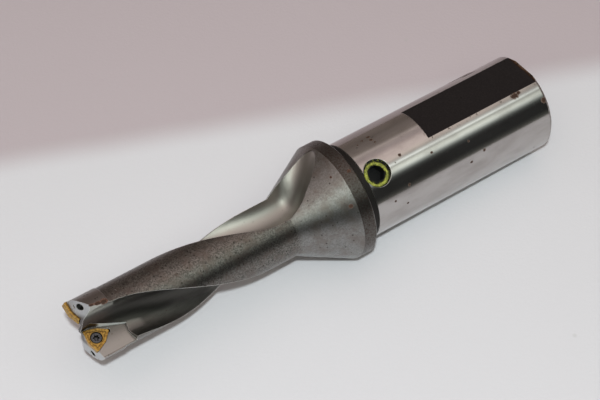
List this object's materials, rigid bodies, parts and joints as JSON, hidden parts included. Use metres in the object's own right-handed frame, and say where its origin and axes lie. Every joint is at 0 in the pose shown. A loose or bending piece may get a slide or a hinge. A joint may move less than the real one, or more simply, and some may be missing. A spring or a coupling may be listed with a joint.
{
  "type": "indexable drill",
  "caption": "Straight-shank indexable drill: ground shank with clamping flat, collar and cone, helical chip flutes and gold-coated trigon inserts screwed into the tip.",
  "frame": {"origin": "centre of the shank's end face, on which the drill stands", "axes": "+Z along the drill's axis towards the cutting end, -Y out of the clamping flat"},
  "size_m": [0.0386, 0.0386, 0.1675],
  "materials": {
    "body_steel": "ground bright on the shank, satin elsewhere",
    "insert_coating": "gold-coloured hard coating",
    "screw_steel": "dark, shiny",
    "plug_steel": "dark, with sealant on the rim"
  },
  "bodies": {
    "root": {"drill_body": "body_steel", "central_insert": "insert_coating", "peripheral_insert": "insert_coating", "central_insert_screw": "screw_steel", "peripheral_insert_screw": "screw_steel", "coolant_plug": "plug_steel"}
  },
  "joints": []
}
